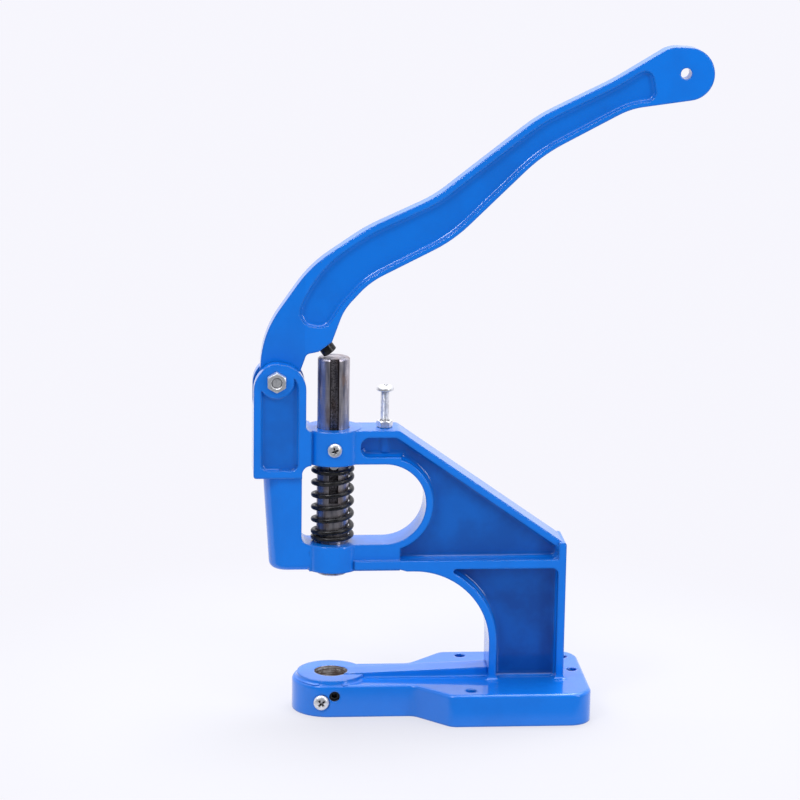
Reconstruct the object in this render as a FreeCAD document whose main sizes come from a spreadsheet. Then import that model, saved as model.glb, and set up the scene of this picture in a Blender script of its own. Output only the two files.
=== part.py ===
import FreeCAD, Part
import math
import os
import Sketcher
from FreeCAD import Placement, Rotation, Vector

# A hand-lever eyelet press, in millimetres. The origin is the axis of the die
# hole on the face the base rests on; +X runs to the column, +Z is up.
SIZES = {
    # Base plate
    "base_thickness": 18.5,
    "base_half_width": 40.5,
    "nose_half_width": 20.6,
    "nose_centre_x": -1.6,
    "flare_start_x": 46.0,
    "base_end_x": 146.0,
    "base_corner_radius": 13.0,
    "base_edge_radius": 2.0,
    "die_ring_radius": 19.3,
    "die_ring_height": 2.4,
    "die_hole_diameter": 19.0,
    "rib_width": 13.0,
    "rib_end_height": 5.5,
    "foot_hole_diameter": 6.0,
    "foot_hole_x": 77.5,
    "foot_hole_spacing": 63.6,
    "back_hole_x": 139.4,
    "back_hole_y": 4.1,
    "corner_hole_x": 137.0,
    "corner_hole_y": 27.9,
    # Column, shelf and web
    "web_width": 8.0,
    "flange_width": 25.0,
    "column_flange": 4.2,
    "back_flange": 4.2,
    "throat_wall_x": 89.3,
    "throat_radius": 43.5,
    "column_back_x": 132.3,
    "arm_underside": 83.2,
    "shelf_thickness": 6.0,
    "shelf_top": "=arm_underside + shelf_thickness",
    "shelf_step": 1.1,
    "shelf_left_x": 12.0,
    # Head
    "head_width": 20.6,
    "head_top": 164.5,
    "head_rim": 3.9,
    "head_slope_x": 36.5,
    "head_slope_angle": 34.9,
    "head_end_x": 131.4,
    "opening_left_x": -17.9,
    "opening_right_x": 52.2,
    "lower_boss_height": 15.3,
    "opening_bottom": "=arm_underside + lower_boss_height",
    "opening_top": 145.2,
    "opening_corner": 5.0,
    "pocket_left_x": 15.0,
    "arm_block_x": 37.8,
    "neck_bottom_x": -35.6,
    "neck_lean": 3.8,
    "neck_bottom_radius": 4.0,
    # Plunger bosses
    "boss_radius": 15.8,
    "upper_boss_top": 164.8,
    "pin_slot_reach": 12.8,
    # Clevis box
    "box_width": 25.6,
    "box_left_x": -45.1,
    "box_right_x": -15.9,
    "box_foot_x": -12.8,
    "box_bottom": 138.0,
    "ear_radius": 14.6,
    "ear_centre_z": 188.5,
    "ear_rim": 4.2,
    "box_recess": 2.6,
    "pivot_x": -32.5,
    "pivot_z": 193.8,
    "pivot_pad_radius": 9.8,
    "slot_bottom": 179.0,
    "slot_side_clearance": 0.3,
    # Lever
    "lever_width": 10.0,
    "lever_recess": 2.8,
    "lever_back_rim": 3.6,
    "lever_front_rim": 2.6,
    "lever_hole_diameter": 6.2,
    "lever_hole_x": 192.4,
    "lever_hole_z": 364.6,
    # Plunger, its pin and its spring
    "plunger_diameter": 18.0,
    "plunger_drop": 3.5,
    "plunger_bottom": "=arm_underside - plunger_drop",
    "plunger_top": 204.8,
    "plunger_chamfer": 0.8,
    "keyway_width": 4.5,
    "keyway_centre_x": 0.0,
    "keyway_depth": 2.6,
    "keyway_bottom": 122.0,
    "punch_hole_diameter": 8.0,
    "punch_hole_depth": 16.0,
    "spring_pin_diameter": 5.6,
    "spring_pin_length": 24.0,
    "wire_diameter": 2.8,
    "spring_outside": 24.5,
    "seat_gap": 0.2,
    "running_clearance": 0.04,
    "thread_clearance": 0.02,
    "face_clearance": 0.3,
    # Fasteners
    "pivot_bolt_diameter": 6.0,
    "nut_width": 10.0,
    "nut_height": 5.0,
    "bolt_head_height": 4.0,
    "bolt_end_gap": 1.0,
    "stop_bolt_x": 28.9,
    "stop_bolt_diameter": 5.0,
    "stop_head_diameter": 9.0,
    "stop_nut_width": 8.0,
    "stop_head_height": 3.4,
    "stop_head_top": 189.1,
    "stop_nut_height": 3.8,
    "thread_depth": 12.0,
    "guide_screw_z": 154.9,
    "guide_screw_diameter": 4.0,
    "guide_head_diameter": 8.0,
    "guide_head_height": 2.6,
    "clamp_screw_x": -6.5,
    "clamp_screw_z": 8.7,
    "clamp_screw_diameter": 5.0,
    "clamp_head_diameter": 8.8,
    "clamp_head_height": 3.0,
    "clamp_seat_depth": 0.8,
    "set_screw_x": 1.0,
    "set_screw_z": 12.2,
    "set_screw_diameter": 6.0,
    "set_screw_length": 6.0,
    "set_screw_recess": 2.0,
    "set_socket_width": 3.0,
    "striker_diameter": 5.0,
    "striker_head_diameter": 8.5,
    "striker_head_height": 5.0,
    "striker_length": 12.0,
    "striker_socket_width": 4.0,
}

# Turns of the return spring: closed at the foot, open between, flat at the top.
FOOT_TURNS = 1.25
OPEN_TURNS = 5.0
TOP_TURNS = 0.5
COIL_STEP = 0.25
FOOT_PITCH_GAP = 0.58
TOP_RISE = 0.8
SPRING_START_ANGLE = 105.0

# The lever's outline: corners as x, z and the radius that rounds each one.
LEVER_BACK = [
    (-41.5, 195.4, 20.0),
    (-40.3, 218.9, 58.0),
    (-13.7, 257.0, 70.0),
    (17.1, 278.1, 100.0),
    (54.8, 295.5, 70.0),
    (111.5, 340.3, 95.0),
    (153.4, 361.0, 120.0),
    (183.5, 379.4, 15.4),
    (206.1, 378.3, 14.4),
    (210.5, 351.9, 14.4),
]
LEVER_FRONT = [
    (162.0, 345.1, 40.0),
    (113.9, 319.4, 90.0),
    (65.4, 271.7, 80.0),
    (19.3, 248.2, 45.0),
    (5.1, 232.6, 30.0),
]
STRIKER_SEAT = [(-1.4, 214.4), (-8.9, 208.8)]
LEVER_HEEL = [(-15.6, 207.4, 3.0), (-19.6, 196.0, 8.0)]
LEVER_POCKET_END = [(173.0, 369.0, 5.0), (177.0, 350.0, 5.0)]
LEVER_POCKET_FOOT = [(-4.5, 221.5, 8.5), (-22.5, 224.5, 8.5)]
HUB_RADIUS = 10.0
THROAT_ARC_ANGLE = 58.0

doc = FreeCAD.newDocument("eyelet_press")
sheet = doc.addObject("Spreadsheet::Sheet", "sizes")
for row, (alias, value) in enumerate(SIZES.items(), start=1):
    sheet.set(f"A{row}", alias)
    sheet.set(f"B{row}", str(value))
    sheet.setAlias(f"B{row}", alias)
doc.recompute()


def size(alias):
    return float(getattr(sheet, alias))


def new_body(name):
    body = doc.addObject("PartDesign::Body", name)
    body.Label = name
    return body


def origin_plane(body, role):
    return next(item for item in body.Origin.OriginFeatures if item.Role == role)


def new_sketch(body, name, role, offset=0.0):
    sketch = body.newObject("Sketcher::SketchObject", name)
    sketch.AttachmentSupport = [(origin_plane(body, role), "")]
    sketch.MapMode = "FlatFace"
    sketch.AttachmentOffset = Placement(Vector(0, 0, offset), Rotation())
    return sketch


def rounded(corners):
    """Closed run of lines and arcs through corners given as x, y, radius."""
    starts = []
    ends = []
    arcs = []
    for index, corner in enumerate(corners):
        point = Vector(corner[0], corner[1], 0)
        before = Vector(*corners[index - 1][:2], 0) - point
        after = Vector(*corners[(index + 1) % len(corners)][:2], 0) - point
        radius = corner[2] if len(corner) > 2 else 0
        if radius == 0:
            starts.append(point)
            ends.append(point)
            continue
        half_angle = before.getAngle(after) / 2
        before.normalize()
        after.normalize()
        reach = radius / math.tan(half_angle)
        inward = (before + after).normalize()
        middle = point + inward * (radius / math.sin(half_angle) - radius)
        starts.append(point + before * reach)
        ends.append(point + after * reach)
        arcs.append(Part.Arc(starts[-1], middle, ends[-1]))
    lines = []
    for index, start in enumerate(starts):
        if ends[index - 1].distanceToPoint(start) > 1e-6:
            lines.append(Part.LineSegment(ends[index - 1], start))
    return lines + arcs


def draw(sketch, *outlines):
    for outline in outlines:
        sketch.addGeometry(rounded(outline), False)
    return sketch


def draw_circle(sketch, x, y, alias, x_alias=None, y_alias=None):
    """A circle whose diameter and place follow the sheet."""
    circle = sketch.addGeometry(Part.Circle(Vector(x, y, 0), Vector(0, 0, 1), size(alias) / 2))
    sketch.addConstraint(Sketcher.Constraint("Diameter", circle, size(alias)))
    sketch.setExpression(f"Constraints[{sketch.ConstraintCount - 1}]", f"sizes.{alias}")
    for kind, coordinate, place in (("DistanceX", x, x_alias), ("DistanceY", y, y_alias)):
        if place is None:
            continue
        sketch.addConstraint(Sketcher.Constraint(kind, -1, 1, circle, 3, coordinate))
        sketch.setExpression(f"Constraints[{sketch.ConstraintCount - 1}]", f"sizes.{place}")
    return sketch


def pad(body, name, sketch, expression, symmetric=True):
    feature = body.newObject("PartDesign::Pad", name)
    feature.Profile = sketch
    feature.SideType = "Symmetric" if symmetric else "One side"
    feature.setExpression("Length", expression)
    doc.recompute()
    return feature


def cut(body, name, sketch, depth=None, symmetric=False, reverse=False):
    before = body.Shape.Volume
    feature = body.newObject("PartDesign::Pocket", name)
    feature.Profile = sketch
    feature.SideType = "Symmetric" if symmetric else "One side"
    feature.Reversed = reverse
    if depth is None:
        feature.Type = "ThroughAll"
    else:
        feature.setExpression("Length", depth)
    doc.recompute()
    if body.Shape.Volume >= before - 1e-3:
        raise ValueError(f"{name} cuts nothing")
    return feature


def edges_where(shape, test):
    return [f"Edge{number}" for number, edge in enumerate(shape.Edges, start=1) if test(edge)]


def dress(body, kind, name, test, alias):
    """Fillet or chamfer of the body's edges that pass the test."""
    base = body.Tip
    names = edges_where(base.Shape, test)
    if not names:
        raise ValueError(f"{name} finds no edge")
    feature = body.newObject(f"PartDesign::{kind}", name)
    feature.Base = (base, names)
    feature.setExpression("Radius" if kind == "Fillet" else "Size", f"sizes.{alias}")
    doc.recompute()
    return feature


def all_points(edge):
    first, last = edge.ParameterRange
    return [edge.valueAt(first + (last - first) * share) for share in (0.0, 0.5, 1.0)]


def on_height(edge, height):
    return all(abs(point.z - height) < 1e-4 for point in all_points(edge))


def base_outline():
    nose = size("nose_half_width")
    half = size("base_half_width")
    start = size("flare_start_x")
    corner = size("base_corner_radius")
    nose_end = size("nose_centre_x") - nose
    flare = half - nose
    end = size("base_end_x")
    return [
        (nose_end, -nose, nose),
        (start, -nose, 8.0),
        (start + flare, -half, 8.0),
        (end, -half, corner),
        (end, half, corner),
        (start + flare, half, 8.0),
        (start, nose, 8.0),
        (nose_end, nose, nose),
    ]


def base_casting():
    """Lower part of the one frame casting, up to the plane of the base's top."""
    body = new_body("base_casting")
    draw(new_sketch(body, "base_outline", "XY_Plane"), base_outline())
    pad(body, "base_plate", doc.base_outline, "sizes.base_thickness", symmetric=False)
    top = size("base_thickness")
    dress(body, "Fillet", "base_edge", lambda edge: on_height(edge, top), "base_edge_radius")
    ring = new_sketch(body, "die_ring_circle", "XY_Plane")
    ring.addGeometry(Part.Circle(Vector(0, 0, 0), Vector(0, 0, 1), size("die_ring_radius")))
    ring.addConstraint(Sketcher.Constraint("Radius", 0, size("die_ring_radius")))
    ring.setExpression("Constraints[0]", "sizes.die_ring_radius")
    pad(body, "die_ring", ring, "sizes.base_thickness + sizes.die_ring_height", symmetric=False)
    rib_start = top + size("die_ring_height")
    rib_end = top + size("rib_end_height")
    wall = size("throat_wall_x")
    rib = [(0, top / 2), (wall, top / 2), (wall, rib_end), (0, rib_start)]
    draw(new_sketch(body, "rib_outline", "XZ_Plane"), rib)
    pad(body, "base_rib", doc.rib_outline, "sizes.rib_width")
    base_holes(body)
    return body


def slope_height(x, offset=0.0):
    """Height of the head's sloping edge at x, or of a line inside it."""
    angle = math.radians(size("head_slope_angle"))
    fall = (x - size("head_slope_x")) * math.tan(angle)
    return size("head_top") - fall - offset / math.cos(angle)


def head_outline():
    left = size("box_foot_x") - 0.6
    top = size("head_top")
    end = size("head_end_x")
    block = size("arm_block_x")
    middle_shelf = (size("shelf_top") + size("arm_underside")) / 2
    return [
        (left, top),
        (size("head_slope_x"), top, 4.0),
        (end, slope_height(end), 3.0),
        (end, middle_shelf),
        (block, middle_shelf),
        (block, size("arm_underside")),
        (left, size("arm_underside")),
    ]


def head_pocket():
    rim = size("head_rim")
    left = size("pocket_left_x")
    roof = size("head_top") - rim
    floor = size("shelf_top")
    end = size("head_end_x") - rim
    angle = math.radians(size("head_slope_angle"))
    turn = size("head_slope_x") - rim * math.tan(angle / 2)
    return [
        (left, roof, 5.0),
        (turn, roof, 4.0),
        (end, slope_height(end, rim), 3.5),
        (end, floor, 3.5),
        (size("arm_block_x"), floor),
        (size("arm_block_x"), size("opening_top") + rim),
        (left, size("opening_top") + rim, 5.0),
    ]


def shelf_underside():
    return size("arm_underside") + size("shelf_step")


def flange_outline():
    """Shelf, throat flange and back flange of the column, open at the foot."""
    turn = math.radians(THROAT_ARC_ANGLE)
    wall = size("throat_wall_x")
    inner_wall = wall + size("column_flange")
    back = size("column_back_x")
    inner_back = back - size("back_flange")
    radius = size("throat_radius")
    inner_radius = radius + size("column_flange")
    floor = size("arm_underside")
    roof = shelf_underside()
    bend = floor - radius + inner_radius * math.tan(turn / 2)
    nib = inner_wall - (roof - bend) * math.tan(turn)
    top = slope_height(back, -1.2)
    foot = size("base_thickness")
    start = size("shelf_left_x")
    return [
        (start, size("shelf_top")),
        (inner_back, size("shelf_top")),
        (inner_back, top),
        (back, top, 1.5),
        (back, foot),
        (inner_back, foot),
        (inner_back, roof, 4.0),
        (nib, roof, 1.5),
        (inner_wall, bend, inner_radius),
        (inner_wall, foot),
        (wall, foot),
        (wall, floor, radius),
        (wall - radius - 4.0, floor),
        (wall - radius - 8.0, roof),
        (start, roof),
    ]


def web_outline():
    inset = 1.5
    left = size("box_foot_x")
    wall = size("throat_wall_x") + inset
    back = size("column_back_x") - inset
    floor = size("arm_underside") + inset
    foot = size("base_thickness")
    return [
        (left, size("head_top") - inset),
        (size("head_slope_x"), size("head_top") - inset),
        (back, slope_height(back, inset)),
        (back, foot),
        (wall, foot),
        (wall, floor, size("throat_radius") + inset),
        (left, floor),
    ]


def ring_outline(margin):
    """The D-shaped opening's outline, grown by a margin."""
    right = size("opening_right_x") + margin
    low = size("opening_bottom") - margin
    high = size("opening_top") + margin
    radius = (high - low) / 2
    return [
        (size("opening_left_x"), low, size("opening_corner")),
        (right, low, radius),
        (right, high, radius),
        (size("opening_left_x"), high, size("opening_corner")),
    ]


def add_head(body):
    draw(new_sketch(body, "web_outline", "XZ_Plane"), web_outline())
    pad(body, "web", doc.web_outline, "sizes.web_width")
    draw(new_sketch(body, "flange_outline", "XZ_Plane"), flange_outline())
    pad(body, "flanges", doc.flange_outline, "sizes.flange_width")
    draw(new_sketch(body, "head_outline", "XZ_Plane"), head_outline(), head_pocket())
    pad(body, "head", doc.head_outline, "sizes.head_width")
    rim = ring_outline(size("head_rim"))
    draw(new_sketch(body, "ring_outline", "XZ_Plane"), rim)
    pad(body, "opening_rim", doc.ring_outline, "sizes.head_width")


def neck_outline():
    """Plan of the neck left of the opening: straight sides and a round front."""
    half = size("head_width") / 2
    left = size("neck_bottom_x")
    right = size("box_foot_x")
    return [
        (left, -half, half),
        (right, -half),
        (right, half),
        (left, half, half),
    ]


def add_neck(body):
    low = size("arm_underside")
    draw(new_sketch(body, "neck_outline", "XY_Plane", low), neck_outline())
    neck = pad(body, "neck", doc.neck_outline, "sizes.opening_top - sizes.arm_underside", False)
    neck.UseCustomVector = True
    neck.Direction = Vector(-size("neck_lean"), 0, size("box_bottom") - low)
    doc.recompute()
    left = size("box_foot_x") - size("boss_radius") / 2
    dress(
        body,
        "Fillet",
        "neck_foot",
        lambda edge: on_height(edge, low) and edge.CenterOfMass.x < left,
        "neck_bottom_radius",
    )


def ear_outline(inset=0.0):
    """Side view of the clevis box with its round top."""
    left = size("box_left_x") + inset
    right = size("box_right_x") - inset
    radius = (right - left) / 2
    top = size("ear_centre_z") + size("ear_radius") - inset
    return left, right, radius, top


def box_outline():
    left, right, radius, top = ear_outline()
    shoulder = size("upper_boss_top") + 0.1
    foot = size("box_foot_x")
    return [
        (left, size("box_bottom"), 1.5),
        (left, top, radius),
        (right, top, radius),
        (right, shoulder, foot - right - 0.1),
        (foot, shoulder),
        (foot, size("box_bottom")),
    ]


def box_pocket():
    """Sunk panel in each side of the box, its two horns beside the pivot pad."""
    left, right, radius, top = ear_outline(size("ear_rim"))
    floor = size("box_bottom") + size("ear_rim")
    return [
        (left, floor, 4.0),
        (left, top, radius),
        (right, top, radius),
        (right, floor, 4.0),
    ]


def add_box(body):
    draw(new_sketch(body, "box_outline", "XZ_Plane"), box_outline())
    pad(body, "box_core", doc.box_outline, "sizes.box_width - 2 * sizes.box_recess")
    draw(new_sketch(body, "box_rim_outline", "XZ_Plane"), box_outline(), box_pocket())
    pad(body, "box_rim", doc.box_rim_outline, "sizes.box_width")
    pivot = new_sketch(body, "pivot_pad_circle", "XZ_Plane")
    pivot.addGeometry(
        Part.Circle(Vector(size("pivot_x"), size("pivot_z"), 0), Vector(0, 0, 1), size("pivot_pad_radius"))
    )
    pad(body, "pivot_pad", pivot, "sizes.box_width")


def add_boss(body, name, low, high):
    sketch = new_sketch(body, f"{name}_circle", "XY_Plane", low)
    sketch.addGeometry(Part.Circle(Vector(0, 0, 0), Vector(0, 0, 1), size("boss_radius")))
    sketch.addConstraint(Sketcher.Constraint("Radius", 0, size("boss_radius")))
    sketch.setExpression("Constraints[0]", "sizes.boss_radius")
    pad(body, name, sketch, high, symmetric=False)


def rectangle(left, low, right, high):
    return [(left, low), (right, low), (right, high), (left, high)]


def add_openings(body):
    draw(new_sketch(body, "opening_outline", "XZ_Plane"), ring_outline(0.0))
    cut(body, "head_opening", doc.opening_outline, symmetric=True)
    half_slot = size("lever_width") / 2 + size("slot_side_clearance")
    top = size("ear_centre_z") + size("ear_radius") + 1
    slot = rectangle(-half_slot, size("slot_bottom"), half_slot, top)
    draw(new_sketch(body, "slot_outline", "YZ_Plane"), slot)
    cut(body, "lever_slot", doc.slot_outline, symmetric=True)


def bore_hole(body, name, role, x, y, radius, low, length):
    """Round hole with a flat bottom, length long from the plane's offset low."""
    sketch = new_sketch(body, f"{name}_circle", role, low)
    sketch.addGeometry(Part.Circle(Vector(x, y, 0), Vector(0, 0, 1), radius))
    return cut(body, name, sketch, length, reverse=True)


def plunger_holes(body):
    bore = size("plunger_diameter") / 2 + size("running_clearance")
    bore_hole(body, "plunger_bore", "XY_Plane", 0, 0, bore, size("arm_underside") - 1, "sizes.upper_boss_top")
    pin = size("spring_pin_diameter") / 2 + size("face_clearance")
    reach = size("pin_slot_reach")
    roof = spring_pin_height() + pin
    relief = rectangle(-pin, size("opening_top") - 1, pin, roof)
    draw(new_sketch(body, "pin_slot_outline", "XZ_Plane"), relief)
    cut(body, "pin_slot", doc.pin_slot_outline, f"{2 * reach} mm", symmetric=True)


def base_holes(body):
    nose = size("nose_half_width")
    hole = new_sketch(body, "die_hole_circle", "XY_Plane")
    draw_circle(hole, 0, 0, "die_hole_diameter")
    cut(body, "die_hole", hole, "sizes.base_thickness + sizes.rib_end_height", reverse=True)
    screw_hole(body, "clamp_screw_hole", size("clamp_screw_x"), size("clamp_screw_z"),
               "clamp_screw_diameter", nose + 1)
    screw_hole(body, "set_screw_hole", size("set_screw_x"), size("set_screw_z"),
               "set_screw_diameter", nose + 1)
    seat = new_sketch(body, "clamp_seat_circle", "XZ_Plane", nose + 1)
    radius = size("clamp_head_diameter") / 2 + size("face_clearance")
    centre = Vector(size("clamp_screw_x"), size("clamp_screw_z"), 0)
    seat.addGeometry(Part.Circle(centre, Vector(0, 0, 1), radius))
    cut(body, "clamp_seat", seat, "sizes.clamp_seat_depth + 1")
    feet = new_sketch(body, "foot_hole_circles", "XY_Plane")
    radius = size("foot_hole_diameter") / 2
    half_spacing = size("foot_hole_spacing") / 2
    places = [
        (size("foot_hole_x"), half_spacing),
        (size("foot_hole_x"), -half_spacing),
        (size("back_hole_x"), size("back_hole_y")),
        (size("corner_hole_x"), size("corner_hole_y")),
    ]
    for place in places:
        feet.addGeometry(Part.Circle(Vector(*place, 0), Vector(0, 0, 1), radius))
    cut(body, "foot_holes", feet, "sizes.base_thickness", reverse=True)


def spring_pin_height():
    """Height of the pin's axis, its underside just above the spring."""
    return spring_top() + size("face_clearance") + size("spring_pin_diameter") / 2


def spring_top():
    return spring_heights()[-1] + size("wire_diameter") / 2


def spring_heights():
    """Height of the wire's centre at each quarter turn."""
    wire = size("wire_diameter")
    low = size("opening_bottom") + size("seat_gap") + wire / 2
    high = size("opening_top") - size("face_clearance") * 10 - wire / 2
    foot_rise = (wire + FOOT_PITCH_GAP) * COIL_STEP
    foot_steps = round(FOOT_TURNS / COIL_STEP)
    open_steps = round(OPEN_TURNS / COIL_STEP)
    top_steps = round(TOP_TURNS / COIL_STEP)
    open_rise = (high - low - foot_rise * foot_steps - TOP_RISE) / open_steps
    rises = [foot_rise] * foot_steps + [open_rise] * open_steps + [TOP_RISE / top_steps] * top_steps
    heights = [low]
    for rise in rises:
        heights.append(heights[-1] + rise)
    return heights


def along_y(x, z, surface):
    """Placement that turns a screw's +Z away from the near side's surface."""
    return Placement(Vector(x, -surface, z), Rotation(Vector(1, 0, 0), 90))


def tapped_holes(body):
    boss = size("boss_radius")
    screw_hole(body, "guide_screw_hole", 0, size("guide_screw_z"), "guide_screw_diameter", boss + 1)
    pivot = new_sketch(body, "pivot_hole_circle", "XZ_Plane")
    bore = size("pivot_bolt_diameter") / 2 + size("running_clearance")
    pivot.addGeometry(Part.Circle(Vector(size("pivot_x"), size("pivot_z"), 0), Vector(0, 0, 1), bore))
    cut(body, "pivot_hole", pivot, symmetric=True)
    radius = size("stop_bolt_diameter") / 2
    low = size("head_top") - size("thread_depth")
    sketch = new_sketch(body, "stop_bolt_boss_circle", "XY_Plane", low - 2)
    sketch.addGeometry(Part.Circle(Vector(size("stop_bolt_x"), 0, 0), Vector(0, 0, 1), 2 * radius))
    pad(body, "stop_bolt_boss", sketch, f"{size('thread_depth')} mm", symmetric=False)
    bore_hole(body, "stop_bolt_hole", "XY_Plane", size("stop_bolt_x"), 0, radius, low, "sizes.thread_depth + 1")


def screw_hole(body, name, x, z, alias, surface):
    """Tapped hole from the near side to the bore on the plunger's axis."""
    sketch = new_sketch(body, f"{name}_circle", "XZ_Plane", surface)
    sketch.addGeometry(Part.Circle(Vector(x, z, 0), Vector(0, 0, 1), size(alias) / 2))
    cut(body, name, sketch, f"{surface} mm")


def frame_casting():
    """Upper part of the same casting: column, arm, head and clevis box."""
    body = new_body("frame_casting")
    add_neck(body)
    add_box(body)
    add_head(body)
    add_boss(body, "lower_boss", size("arm_underside"), "sizes.lower_boss_height")
    add_boss(body, "upper_boss", size("opening_top"), "sizes.upper_boss_top - sizes.opening_top")
    add_openings(body)
    plunger_holes(body)
    tapped_holes(body)
    return body


def inset(corners, distance):
    """Corners of a clockwise outline moved inside it, with their radii."""
    moved = []
    for index, corner in enumerate(corners):
        point = Vector(corner[0], corner[1], 0)
        before = (point - Vector(*corners[index - 1][:2], 0)).normalize()
        after = (Vector(*corners[(index + 1) % len(corners)][:2], 0) - point).normalize()
        normals = Vector(before.y, -before.x, 0), Vector(after.y, -after.x, 0)
        shift = (normals[0] + normals[1]) * (distance / (1 + normals[0] * normals[1]))
        convex = before.x * after.y - before.y * after.x < 0
        radius = corner[2] if len(corner) > 2 else 0
        radius = max(radius - distance, 0) if convex else radius + distance
        moved.append((point.x + shift.x, point.y + shift.y, radius))
    return moved


def lever_outline():
    x = size("pivot_x")
    z = size("pivot_z")
    hub = HUB_RADIUS
    return [
        (x - hub, z - hub, hub),
        *LEVER_BACK,
        *LEVER_FRONT,
        *STRIKER_SEAT,
        *LEVER_HEEL,
        (x + hub, z - hub, hub),
    ]


def lever_pocket():
    """Sunk panel of the lever's side, a rim's width inside its edges."""
    back_count = len(LEVER_BACK)
    back = inset(lever_outline(), size("lever_back_rim"))[3:back_count - 2]
    front = inset(lever_outline(), size("lever_front_rim"))
    front = front[back_count + 1:back_count + 1 + len(LEVER_FRONT)]
    return [*back, *LEVER_POCKET_END, *front, *LEVER_POCKET_FOOT]


def lever():
    body = new_body("lever")
    draw(new_sketch(body, "lever_core_outline", "XZ_Plane"), lever_outline())
    pad(body, "lever_core", doc.lever_core_outline, "sizes.lever_width - 2 * sizes.lever_recess")
    draw(new_sketch(body, "lever_rim_outline", "XZ_Plane"), lever_outline(), lever_pocket())
    pad(body, "lever_rim", doc.lever_rim_outline, "sizes.lever_width")
    holes = new_sketch(body, "lever_hole_circles", "XZ_Plane")
    bore = size("pivot_bolt_diameter") / 2 + size("running_clearance")
    holes.addGeometry(Part.Circle(Vector(size("pivot_x"), size("pivot_z"), 0), Vector(0, 0, 1), bore))
    end = Vector(size("lever_hole_x"), size("lever_hole_z"), 0)
    holes.addGeometry(Part.Circle(end, Vector(0, 0, 1), size("lever_hole_diameter") / 2))
    cut(body, "lever_holes", holes, symmetric=True)
    thread = new_sketch(body, "striker_thread_circle", "XY_Plane")
    thread.AttachmentOffset = striker_frame()
    radius = size("striker_diameter") / 2
    thread.addGeometry(Part.Circle(Vector(0, 0, 0), Vector(0, 0, 1), radius))
    cut(body, "striker_thread", thread, "sizes.striker_length + 1")
    return body


def turned(name, profile):
    """A body turned about its own Z axis from a half profile in x, z, radius."""
    body = new_body(name)
    sketch = draw(new_sketch(body, f"{name}_profile", "XZ_Plane"), profile)
    feature = body.newObject("PartDesign::Revolution", f"{name}_turning")
    feature.Profile = sketch
    feature.ReferenceAxis = (origin_plane(body, "Z_Axis"), [""])
    feature.Angle = 360.0
    doc.recompute()
    return body


def screw(name, diameter, length, head_diameter, head_height, edge):
    """Round-headed screw with its head's seat at z = 0 and its shank below."""
    shank = size(diameter) / 2 - size("thread_clearance")
    head = size(head_diameter) / 2
    height = size(head_height)
    return turned(name, [
        (0, -length),
        (shank, -length, 0.5),
        (shank, 0),
        (head, 0),
        (head, height, edge),
        (0, height),
    ])


def hexagon(width):
    radius = width / math.sqrt(3)
    corners = [math.radians(60 * step + 30) for step in range(6)]
    return [(radius * math.cos(angle), radius * math.sin(angle)) for angle in corners]


def hex_pad(body, name, low, width, height):
    sketch = draw(new_sketch(body, f"{name}_outline", "XY_Plane", low), hexagon(width))
    return pad(body, name, sketch, height, symmetric=False)


def hex_recess(body, name, top, width, depth):
    sketch = draw(new_sketch(body, f"{name}_outline", "XY_Plane", top), hexagon(width))
    return cut(body, name, sketch, depth)


def hex_nut(name, width, height, bore_diameter):
    body = new_body(name)
    sketch = draw(new_sketch(body, f"{name}_outline", "XY_Plane"), hexagon(size(width)))
    radius = size(bore_diameter) / 2 + size("thread_clearance")
    sketch.addGeometry(Part.Circle(Vector(0, 0, 0), Vector(0, 0, 1), radius))
    pad(body, f"{name}_pad", sketch, f"sizes.{height}", symmetric=False)
    return body


def hex_bolt(name, diameter, length, width, head_height):
    """Hexagon bolt with its head's seat at z = 0 and its shank below."""
    shank = size(diameter) / 2
    body = turned(name, [(0, -length), (shank, -length, 0.6), (shank, 0.2), (0, 0.2)])
    hex_pad(body, f"{name}_head", 0, size(width), f"sizes.{head_height}")
    return body


def plunger():
    radius = size("plunger_diameter") / 2
    low = size("plunger_bottom")
    top = size("plunger_top")
    chamfer = size("plunger_chamfer")
    body = turned("plunger", [
        (0, low),
        (radius - chamfer, low),
        (radius, low + chamfer),
        (radius, top - chamfer),
        (radius - chamfer, top),
        (0, top),
    ])
    half = size("keyway_width") / 2
    centre = size("keyway_centre_x")
    keyway = rectangle(centre - half, size("keyway_bottom"), centre + half, top + 1)
    draw(new_sketch(body, "keyway_outline", "XZ_Plane", radius + 1), keyway)
    cut(body, "keyway", doc.keyway_outline, "sizes.keyway_depth + 1")
    pin = new_sketch(body, "pin_hole_circle", "XZ_Plane")
    pin_radius = size("spring_pin_diameter") / 2 + size("thread_clearance")
    pin.addGeometry(Part.Circle(Vector(0, spring_pin_height(), 0), Vector(0, 0, 1), pin_radius))
    cut(body, "pin_hole", pin, symmetric=True)
    punch = new_sketch(body, "punch_hole_circle", "XY_Plane", low)
    punch.addGeometry(Part.Circle(Vector(0, 0, 0), Vector(0, 0, 1), size("punch_hole_diameter") / 2))
    cut(body, "punch_hole", punch, "sizes.punch_hole_depth", reverse=True)
    return body


def spring_pin():
    radius = size("spring_pin_diameter") / 2
    half = size("spring_pin_length") / 2
    body = turned("spring_pin", [(0, -half), (radius, -half, 0.6), (radius, half, 0.6), (0, half)])
    body.Placement = Placement(Vector(0, 0, spring_pin_height()), Rotation(Vector(1, 0, 0), 90))
    return body


def arc_from(start, tangent, end):
    """The arc that leaves start along tangent and reaches end."""
    chord = end - start
    angle = tangent.getAngle(chord)
    direction = (Vector(tangent).normalize() + Vector(chord).normalize()).normalize()
    middle = start + direction * (chord.Length / (2 * math.cos(angle / 2)))
    return Part.Arc(start, middle, end).toShape()


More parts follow.
